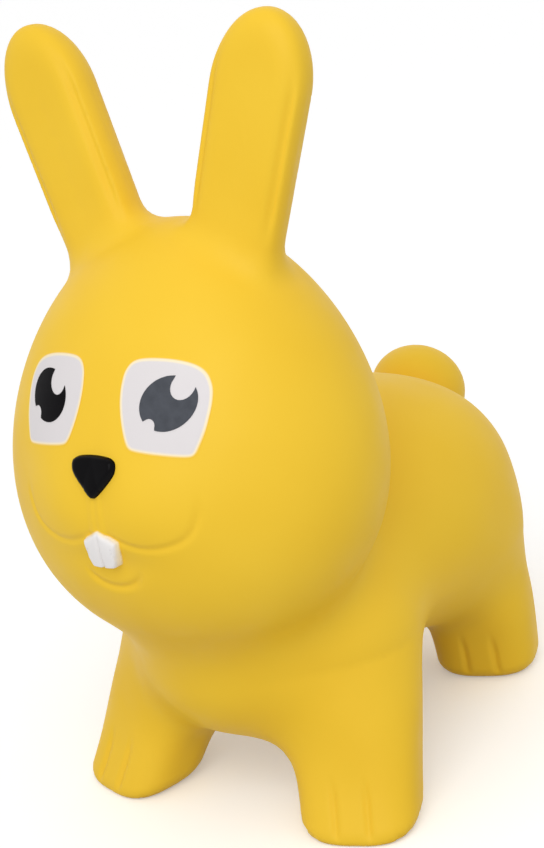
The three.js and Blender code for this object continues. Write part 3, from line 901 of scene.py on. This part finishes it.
def add_seen(tree):
    """1 for rays that look, straight or by way of gloss or glass, and 0 for rays that only gather light."""
    path = add_node(tree, "ShaderNodeLightPath")
    seen = path.outputs["Is Camera Ray"]
    for ray in ("Is Glossy Ray", "Is Transmission Ray"):
        either = add_node(tree, "ShaderNodeMath", operation="MAXIMUM")
        tree.links.new(seen, either.inputs[0])
        tree.links.new(path.outputs[ray], either.inputs[1])
        seen = either.outputs["Value"]
    return seen


def add_range(tree, value, low, high, start=0.3, end=0.7):
    """A value from start to end, such as a noise, spread from low to high."""
    limits = {"From Min": start, "From Max": end, "To Min": low, "To Max": high}
    node = add_node(tree, "ShaderNodeMapRange", **limits)
    tree.links.new(value, node.inputs["Value"])
    return node.outputs["Result"]


def add_mix(tree, factor, a, b):
    """A colour between two, each a value or a socket."""
    node = add_node(tree, "ShaderNodeMix", data_type="RGBA")
    sockets = [s for s in node.inputs if s.type == "RGBA"]
    for socket, value in zip(sockets, (a, b)):
        if isinstance(value, bpy.types.NodeSocket):
            tree.links.new(value, socket)
        else:
            socket.default_value = tuple(value)
    tree.links.new(factor, node.inputs["Factor"])
    return [s for s in node.outputs if s.type == "RGBA"][0]


def add_surface(tree, shader, roughness, gloss, patches, grain, strength, depth):
    """Gloss, roughness that varies in patches, and a fine moulded grain."""
    low, high = roughness - ROUGHNESS_SPREAD, roughness + ROUGHNESS_SPREAD
    tree.links.new(add_range(tree, add_noise(tree, patches), low, high), shader.inputs["Roughness"])
    shader.inputs["Specular IOR Level"].default_value = gloss
    bump = add_node(tree, "ShaderNodeBump", Strength=strength, Distance=depth)
    tree.links.new(add_noise(tree, grain), bump.inputs["Height"])
    tree.links.new(bump.outputs["Normal"], shader.inputs["Normal"])


def vinyl_colour(tree, finish):
    """The skin's yellow, clouded a little as blown vinyl is."""
    cloud = add_range(tree, add_noise(tree, scale=9, detail=2), 0, 1)
    return add_mix(tree, cloud, finish.skin, finish.skin_deep)


def vinyl_material(finish):
    """The satin vinyl of the skin."""
    material, tree, shader = new_material("yellow_vinyl")
    tree.links.new(vinyl_colour(tree, finish), shader.inputs["Base Color"])
    grain = {"patches": 30, "grain": 900, "strength": 0.10, "depth": 0.4 * MM}
    add_surface(tree, shader, roughness=0.49, gloss=0.2, **grain)
    return material


def sprayed_material(name, finish, tint, roughness):
    """Paint that fades into the vinyl where its cover runs out."""
    material, tree, shader = new_material(name)
    cover = add_node(tree, "ShaderNodeAttribute", attribute_name="cover").outputs["Fac"]
    thin = add_range(tree, cover, 0, 1, start=0, end=0.5)
    full = add_range(tree, cover, 0, 1, start=0.5, end=1)
    edge = add_mix(tree, thin, vinyl_colour(tree, finish), finish.cream)
    tree.links.new(add_mix(tree, full, edge, tint), shader.inputs["Base Color"])
    grain = {"patches": 120, "grain": 1100, "strength": 0.08, "depth": 0.3 * MM}
    add_surface(tree, shader, roughness, gloss=0.4, **grain)
    return material


def paint_material(name, tint, roughness, gloss):
    """Plain paint with a little mottling."""
    material, tree, shader = new_material(name)
    darker = [c * MOTTLE_SHADE for c in tint[:3]] + [1]
    mottle = add_range(tree, add_noise(tree, scale=160, detail=4), 0, 1)
    tree.links.new(add_mix(tree, mottle, tint, darker), shader.inputs["Base Color"])
    grain = {"patches": 220, "grain": 700, "strength": 0.06, "depth": 0.3 * MM}
    add_surface(tree, shader, roughness, gloss, **grain)
    return material


# Operators

def add_piece(name, mesh, material, body, slot, *nodes):
    """An object that rides on a body and takes the place of nodes; the slot that would name its finish is
    not used.
    """
    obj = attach(add_object(name, mesh, material), body)
    if nodes:
        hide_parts(*nodes)


# Skin: room round the solids' box, rounds of evening, and how far round its relief faces are halved
BOX_MARGIN = 0.010
EVEN_ROUNDS = 6
DETAIL_MARGINS = (0.010, 0.0)
LINE_REACH = 0.007
MIDDLE_REACH = 0.010
MOUTH_BACK = -0.110
TOE_DETAIL = (0.010, 0.060)
RIM_OUT = 0.002
RIM_ASIDE = 0.050

# Where an ear's own mesh is cut from the skin, and the hole in the skin over the valve's boss
EAR_REACH = 0.070
EAR_SPARE = 0.005
VALVE_HOLE = 0.0135


class HOPPER_OT_skin(bpy.types.Operator):
    """Blown skin of the head, body, legs and tail, and the two ears as pieces of their own"""

    bl_idname = "hopper.skin"
    bl_label = "Make skin"

    def execute(self, context):
        skin = Skin(context.scene)
        points, faces = self.fine_mesh(skin)
        out = skin.normals(points)
        ear_of = self.ear_of(skin, points)
        owners = [ear_of[f[0]] if len({ear_of[i] for i in f}) == 1 else 0 for f in faces]
        hole = np.hypot(points[:, 0] - PLUG_X, points[:, 1] - PLUG_Y) < VALVE_HOLE
        hole &= points[:, 2] < skin.form.barrel_centre[2]
        material = vinyl_material(context.scene.hopper_finish)
        body = [f for f, owner in zip(faces, owners) if not owner and not all(hole[i] for i in f)]
        nodes = ["skin_body", "skin_head", "skin_tail"]
        nodes += [f"skin_leg_{end}_{side}" for end in ("front", "rear") for side in SIDES]
        add_piece("skin", self.part_mesh(points, out, body), material, "hopper", "yellow_vinyl", *nodes)
        for side, sign in SIDES.items():
            ear = [f for f, owner in zip(faces, owners) if owner == sign]
            obj = add_object(f"ear_{side}", self.part_mesh(points, out, ear), material)
            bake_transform(obj)
            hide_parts(f"skin_ear_{side}")
        return {"FINISHED"}

    def fine_mesh(self, skin):
        """Points and faces of the whole skin, with smaller faces where it has relief."""
        low = np.array(CAD_BOX[0]) - BOX_MARGIN
        high = np.array(CAD_BOX[1]) + BOX_MARGIN
        corners, faces = surface_net(skin.plain, low, high, skin.form.mesh_step)
        bm = bmesh.new()
        for corner in evened(corners, faces, skin.settle, EVEN_ROUNDS):
            bm.verts.new(corner)
        bm.verts.ensure_lookup_table()
        for face in faces:
            bm.faces.new([bm.verts[i] for i in face])
        for margin in DETAIL_MARGINS:
            middles = np.array([f.calc_center_median() for f in bm.faces])
            refine(bm, skin, self.detailed(skin, middles, margin))
        points = skin.settle(mesh_points(bm))
        bm.verts.index_update()
        faces = [[v.index for v in f.verts] for f in bm.faces]
        bm.free()
        return points, faces

    @staticmethod
    def detailed(skin, points, margin):
        """Where the skin needs fine faces: the mouth, the toes and the edges of the ears' panels."""
        at = points - skin.move
        wide = np.abs(at[:, 0])
        z = at[:, 2]
        mouth = (line_distance(wide, z, skin.cheek) < LINE_REACH + margin) & (z < CHEEK_END[1])
        mouth |= line_distance(wide, z, MOUTH_MIDDLE) < MIDDLE_REACH + margin
        mouth |= line_distance(at[:, 0], z, skin.lip) < LINE_REACH + margin
        wanted = mouth & (at[:, 1] < MOUTH_BACK)
        near, far = TOE_DETAIL
        for own in skin.in_feet(at):
            toes = np.abs(np.abs(own[:, 0]) - skin.face.toe_spacing / 2) < LINE_REACH + margin
            wanted |= toes & (z < FOOT_TOP) & (own[:, 1] < margin - near) & (own[:, 1] > -far)
        for sign in SIDES.values():
            own = skin.in_ear(points, sign)
            rim = np.abs(skin.ear_rim(own) + RIM_OUT) < LINE_REACH + margin
            rim &= (own[:, 1] < EAR_FRONT[1]) & (own[:, 2] > EAR_ROOT[0])
            wanted |= rim & (sign * at[:, 0] > 0) & (np.abs(own[:, 0]) < RIM_ASIDE)
        return wanted

    @staticmethod
    def ear_of(skin, points):
        """1 for points of the left ear from where it bends, -1 for the right one's and 0 for the rest."""
        owner = np.zeros(len(points), int)
        for sign in SIDES.values():
            at = skin.in_ear(points, sign)
            near = np.hypot(at[:, 0], at[:, 1]) < EAR_REACH
            owner[near & (at[:, 2] > skin.ears.bend_start - EAR_SPARE)] = sign
        return owner

    @staticmethod
    def part_mesh(points, out, faces):
        """A mesh of some of the skin's faces that keeps the normals of the whole."""
        used = sorted({i for f in faces for i in f})
        renumber = {i: k for k, i in enumerate(used)}
        mesh = mesh_of(points[used], [[renumber[i] for i in f] for f in faces])
        mesh.normals_split_custom_set_from_vertices([tuple(n) for n in out[used]])
        return mesh


# Eyes: spacing of their points, and the thickness of a pupil in films
EYE_STEP = 2.5 * MM
PUPIL_STEP = 2.2 * MM
PUPIL_FILMS = 2.5

# Sprayed edge: rings and fades as shares of the overspray, and the heights between which it softens
SPRAY_RINGS = (0.8, 0.6, 0.4, 0.2, 0, -0.2, -0.4, -0.6)
SPRAY_THIN = (-1, -0.5)
SPRAY_FULL = (-0.3, 0.3)
SPRAY_SOFT = (-1, 0.6)
SPRAY_HEIGHTS = (0.326, 0.342)


class HOPPER_OT_eyes(bpy.types.Operator):
    """Sprayed whites of the eyes with their glints, and the black pupils"""

    bl_idname = "hopper.eyes"
    bl_label = "Make eyes"

    def execute(self, context):
        skin = Skin(context.scene)
        finish = context.scene.hopper_finish
        white = sprayed_material("sprayed_white", finish, finish.white, roughness=0.5)
        thickness = even_film(PUPIL_FILMS * skin.face.film)
        for side, sign in SIDES.items():
            node = f"eye_white_{side}"
            mesh = self.white_mesh(skin, sign)
            add_piece(f"{node}_sprayed", mesh, white, "hopper", "white_paint", node)
            node = f"pupil_{side}"
            mesh, _ = face_film(skin, pupil_outline(skin.face, sign), PUPIL_STEP, thickness)
            # The left pupil's colour is black paint with a painted reflection, so it comes out grey; the
            # right one stays black.
            black = paint_material(
                f"sprayed_black_{side}", getattr(finish, node), roughness=0.36, gloss=0.03
            )
            add_piece(f"{node}_sprayed", mesh, black, "hopper", "black_paint", node)
        return {"FINISHED"}

    @staticmethod
    def white_mesh(skin, sign):
        """The sprayed white of an eye, which keeps how well it covers."""
        soft = skin.face.overspray
        outline = curve_through(EYE_OUTLINE, steps=8, closed=True) * MM * np.array([sign, 1])
        rings = [widened(outline, soft * share) for share in SPRAY_RINGS]
        thickness = even_film(skin.face.film)
        mesh, flat = face_film(skin, widened(outline, soft), EYE_STEP, thickness, rings)
        inside = edge_distance(flat, outline) / soft
        # The spray lies thin along the edge, and runs out more softly at the bottom.
        crisp = (smooth_step(inside, *SPRAY_THIN) + smooth_step(inside, *SPRAY_FULL)) / 2
        low = 1 - smooth_step(flat[:, 1], *SPRAY_HEIGHTS)
        set_cover(mesh, crisp + (smooth_step(inside, *SPRAY_SOFT) - crisp) * low)
        return mesh


NOSE_STEP = 1.2 * MM


class HOPPER_OT_nose(bpy.types.Operator):
    """Glossy nose, raised over the muzzle"""

    bl_idname = "hopper.nose"
    bl_label = "Make nose"

    def execute(self, context):
        skin = Skin(context.scene)
        face = skin.face
        outline = curve_through(mirrored(NOSE_OUTLINE), steps=4, closed=True) * MM

        def height(at):
            return rounded_height(at, outline, face.nose_proud, face.nose_edge)

        mesh, _ = face_film(skin, outline, NOSE_STEP, height)
        tint = context.scene.hopper_finish.nose
        gloss = paint_material("nose_gloss", tint, roughness=0.22, gloss=0.07)
        add_piece("nose_moulded", mesh, gloss, "hopper", "nose_gloss", "nose")
        return {"FINISHED"}


# Teeth: spacing of their points, and the width and depth of the line between them, the depth as a share
TEETH_STEP = 0.8 * MM
TEETH_LINE = 0.9 * MM
TEETH_LINE_SHARE = 0.4


class HOPPER_OT_teeth(bpy.types.Operator):
    """Pair of front teeth, sprayed white, with a fine line between them"""

    bl_idname = "hopper.teeth"
    bl_label = "Make teeth"

    def execute(self, context):
        skin = Skin(context.scene)
        face, finish = skin.face, context.scene.hopper_finish
        outline = curve_through(mirrored(TEETH_OUTLINE), steps=4, closed=True) * MM
        soft = face.overspray / 2

        def height(at):
            down = smooth_step(-at[:, 1], -outline[:, 1].max(), -outline[:, 1].min())
            jut = 1 + down * face.teeth_jut / face.teeth_proud
            pad = rounded_height(at, outline, face.teeth_proud, face.teeth_edge) * jut
            return pad * (1 - TEETH_LINE_SHARE * hump(at[:, 0], TEETH_LINE)) + face.film

        mesh, flat = face_film(skin, widened(outline, soft), TEETH_STEP, height)
        set_cover(mesh, smooth_step(edge_distance(flat, outline), -soft, soft))
        white = sprayed_material("tooth_white", finish, finish.tooth, roughness=0.45)
        add_piece("teeth_moulded", mesh, white, "hopper", "white_paint", "teeth")
        return {"FINISHED"}


# Valve: (radius, height) pairs in millimetres, and how far each base lies over the plug's lowest point
BOSS_PROFILE = [
    (17.8, 9), (17.8, 5), (17, 3), (16.8, 1.3), (16.2, 0.4), (15, 0), (6, 0), (5.3, 0.2), (4.8, 0.8),
    (4.8, 22.5), (3.4, 24), (0, 24),
]
PLUG_PROFILE = [
    (0, -3), (3, -3), (3.6, -2.6), (6.4, -2.6), (7, -3), (8.8, -3), (9.6, -2.6), (10, -1.8), (10, -1),
    (9.6, -0.4), (9, -0.3), (4.6, -0.3), (4.5, 1), (4.4, 6), (4.6, 6.8), (4.4, 7.6), (4.2, 12),
    (4.4, 12.8), (4.1, 13.6), (3.8, 18.5), (3, 19.7), (0, 20),
]
BOSS_BASE = 3.3 * MM
PLUG_BASE = 3 * MM
BOSS_SIDES = 64
PLUG_SIDES = 48


class HOPPER_OT_valve(bpy.types.Operator):
    """Boss of the air valve under the belly, and the plug that pulls out of it"""

    bl_idname = "hopper.valve"
    bl_label = "Make valve"

    def execute(self, context):
        finish = context.scene.hopper_finish
        boss = lathe(BOSS_PROFILE, BOSS_SIDES, PLUG_LOW.z + BOSS_BASE)
        add_piece("valve_boss", boss, vinyl_material(finish), "hopper", "yellow_vinyl")
        plug = lathe(PLUG_PROFILE, PLUG_SIDES, PLUG_LOW.z + PLUG_BASE)
        tint = paint_material("plug_vinyl", finish.plug, roughness=0.42, gloss=0.4)
        add_piece("air_plug_moulded", plug, tint, "plug", "plug_vinyl", "air_plug")
        return {"FINISHED"}


# Stage: how far the floor goes, its finish, and the camera's sensor and far end of sight
FLOOR_REACH = 40
FLOOR_ROUGHNESS = 0.9
FLOOR_GLOSS = 0.1
SENSOR_HEIGHT = 36
SIGHT = 200


class HOPPER_OT_stage(bpy.types.Operator):
    """Pale floor, soft light and the camera at the picture's angle"""

    bl_idname = "hopper.stage"
    bl_label = "Make stage"

    def execute(self, context):
        scene = context.scene
        stage = scene.hopper_stage
        scene.view_settings.view_transform = "Standard"
        self.make_floor(scene)
        self.make_sky(scene, stage)
        self.make_key(scene, stage)
        self.make_camera(scene, stage)
        return {"FINISHED"}

    @staticmethod
    def make_floor(scene):
        """A floor that is white to look at, and gives back less light to the underside."""
        material, tree, shader = new_material("pale_floor")
        seen = add_seen(tree)
        finish = scene.hopper_finish
        tree.links.new(add_mix(tree, seen, finish.floor_bounce, finish.floor), shader.inputs["Base Color"])
        glow = add_node(tree, "ShaderNodeMath", operation="MULTIPLY")
        glow.inputs[1].default_value = scene.hopper_stage.floor_glow
        tree.links.new(seen, glow.inputs[0])
        tree.links.new(glow.outputs["Value"], shader.inputs["Emission Strength"])
        shader.inputs["Emission Color"].default_value = WHITE
        shader.inputs["Roughness"].default_value = FLOOR_ROUGHNESS
        shader.inputs["Specular IOR Level"].default_value = FLOOR_GLOSS
        corners = [(FLOOR_REACH * x, FLOOR_REACH * y, 0) for x, y in ((-1, -1), (1, -1), (1, 1), (-1, 1))]
        add_object("floor", mesh_of(corners, [(0, 1, 2, 3)]), material)

    @staticmethod
    def make_sky(scene, stage):
        """Even light from all round, which is white to look at."""
        world = bpy.data.worlds.new("studio")
        world.use_nodes = True
        scene.world = world
        tree = world.node_tree
        light = tree.nodes["Background"]
        light.inputs["Color"].default_value = WHITE
        light.inputs["Strength"].default_value = stage.sky_strength
        white = add_node(tree, "ShaderNodeBackground", Color=WHITE, Strength=1.0)
        mix = add_node(tree, "ShaderNodeMixShader")
        tree.links.new(add_seen(tree), mix.inputs["Fac"])
        tree.links.new(light.outputs["Background"], mix.inputs[1])
        tree.links.new(white.outputs["Background"], mix.inputs[2])
        tree.links.new(mix.outputs["Shader"], tree.nodes["World Output"].inputs["Surface"])

    @staticmethod
    def make_key(scene, stage):
        """The soft main light, turned to the hopper."""
        lamp = bpy.data.lights.new("key", "AREA")
        lamp.energy = stage.key_power
        lamp.size = stage.key_size
        key = bpy.data.objects.new("key", lamp)
        key.location = stage.key_place
        away = Vector(stage.key_place) - Vector(stage.target)
        key.rotation_euler = away.to_track_quat("Z", "Y").to_euler()
        scene.collection.objects.link(key)

    @staticmethod
    def make_camera(scene, stage):
        """The camera at the picture's angle, with the picture's own middle."""
        around, up, roll = stage.azimuth, stage.elevation, stage.roll
        back = Vector((math.sin(around) * math.cos(up), -math.cos(around) * math.cos(up), math.sin(up)))
        right = Vector((math.cos(around), math.sin(around), 0))
        above = back.cross(right)
        turned = math.cos(roll) * right + math.sin(roll) * above
        upright = -math.sin(roll) * right + math.cos(roll) * above
        data = bpy.data.cameras.new("camera")
        data.sensor_fit = "VERTICAL"
        data.sensor_height = SENSOR_HEIGHT
        data.lens = stage.focal_pixels / IMAGE_HEIGHT * SENSOR_HEIGHT
        data.shift_x = (IMAGE_WIDTH / 2 - stage.middle_x) / IMAGE_HEIGHT
        data.shift_y = (stage.middle_y - IMAGE_HEIGHT / 2) / IMAGE_HEIGHT
        data.clip_end = SIGHT
        camera = bpy.data.objects.new("camera", data)
        turn = Matrix((turned, upright, back)).transposed().to_4x4()
        eye = Vector(stage.target) + Vector(Skin(scene).move) + back * stage.distance
        camera.matrix_world = Matrix.Translation(eye) @ turn
        scene.collection.objects.link(camera)
        scene.camera = camera


class HOPPER_PT_panel(bpy.types.Panel):
    """Lists the hopper's sizes and the steps that build it"""

    bl_idname = "HOPPER_PT_panel"
    bl_label = "Bunny Hopper"
    bl_space_type = "VIEW_3D"
    bl_region_type = "UI"
    bl_category = "Hopper"

    def draw(self, context):
        for operator in OPERATORS:
            self.layout.operator(operator.bl_idname)
        for name in GROUPS:
            box = self.layout.box()
            group = getattr(context.scene, name)
            for prop in group.bl_rna.properties:
                if prop.identifier not in ("rna_type", "name"):
                    box.prop(group, prop.identifier)


OPERATORS = (
    HOPPER_OT_skin,
    HOPPER_OT_eyes,
    HOPPER_OT_nose,
    HOPPER_OT_teeth,
    HOPPER_OT_valve,
    HOPPER_OT_stage,
)
GROUPS = {
    "hopper_form": HopperForm,
    "hopper_ears": HopperEars,
    "hopper_face": HopperFace,
    "hopper_finish": HopperFinish,
    "hopper_stage": HopperStage,
}


def register():
    """Makes the groups, the operators and the panel known."""
    for cls in (*GROUPS.values(), *OPERATORS, HOPPER_PT_panel):
        bpy.utils.register_class(cls)
    for name, group in GROUPS.items():
        setattr(bpy.types.Scene, name, bpy.props.PointerProperty(type=group))


def unregister():
    """Takes back what register did."""
    for name in GROUPS:
        delattr(bpy.types.Scene, name)
    for cls in reversed((*GROUPS.values(), *OPERATORS, HOPPER_PT_panel)):
        bpy.utils.unregister_class(cls)


def main():
    """Builds the hopper and its stage."""
    register()
    bpy.ops.hopper.skin()
    bpy.ops.hopper.eyes()
    bpy.ops.hopper.nose()
    bpy.ops.hopper.teeth()
    bpy.ops.hopper.valve()
    bpy.ops.hopper.stage()


if __name__ == "__main__":
    main()
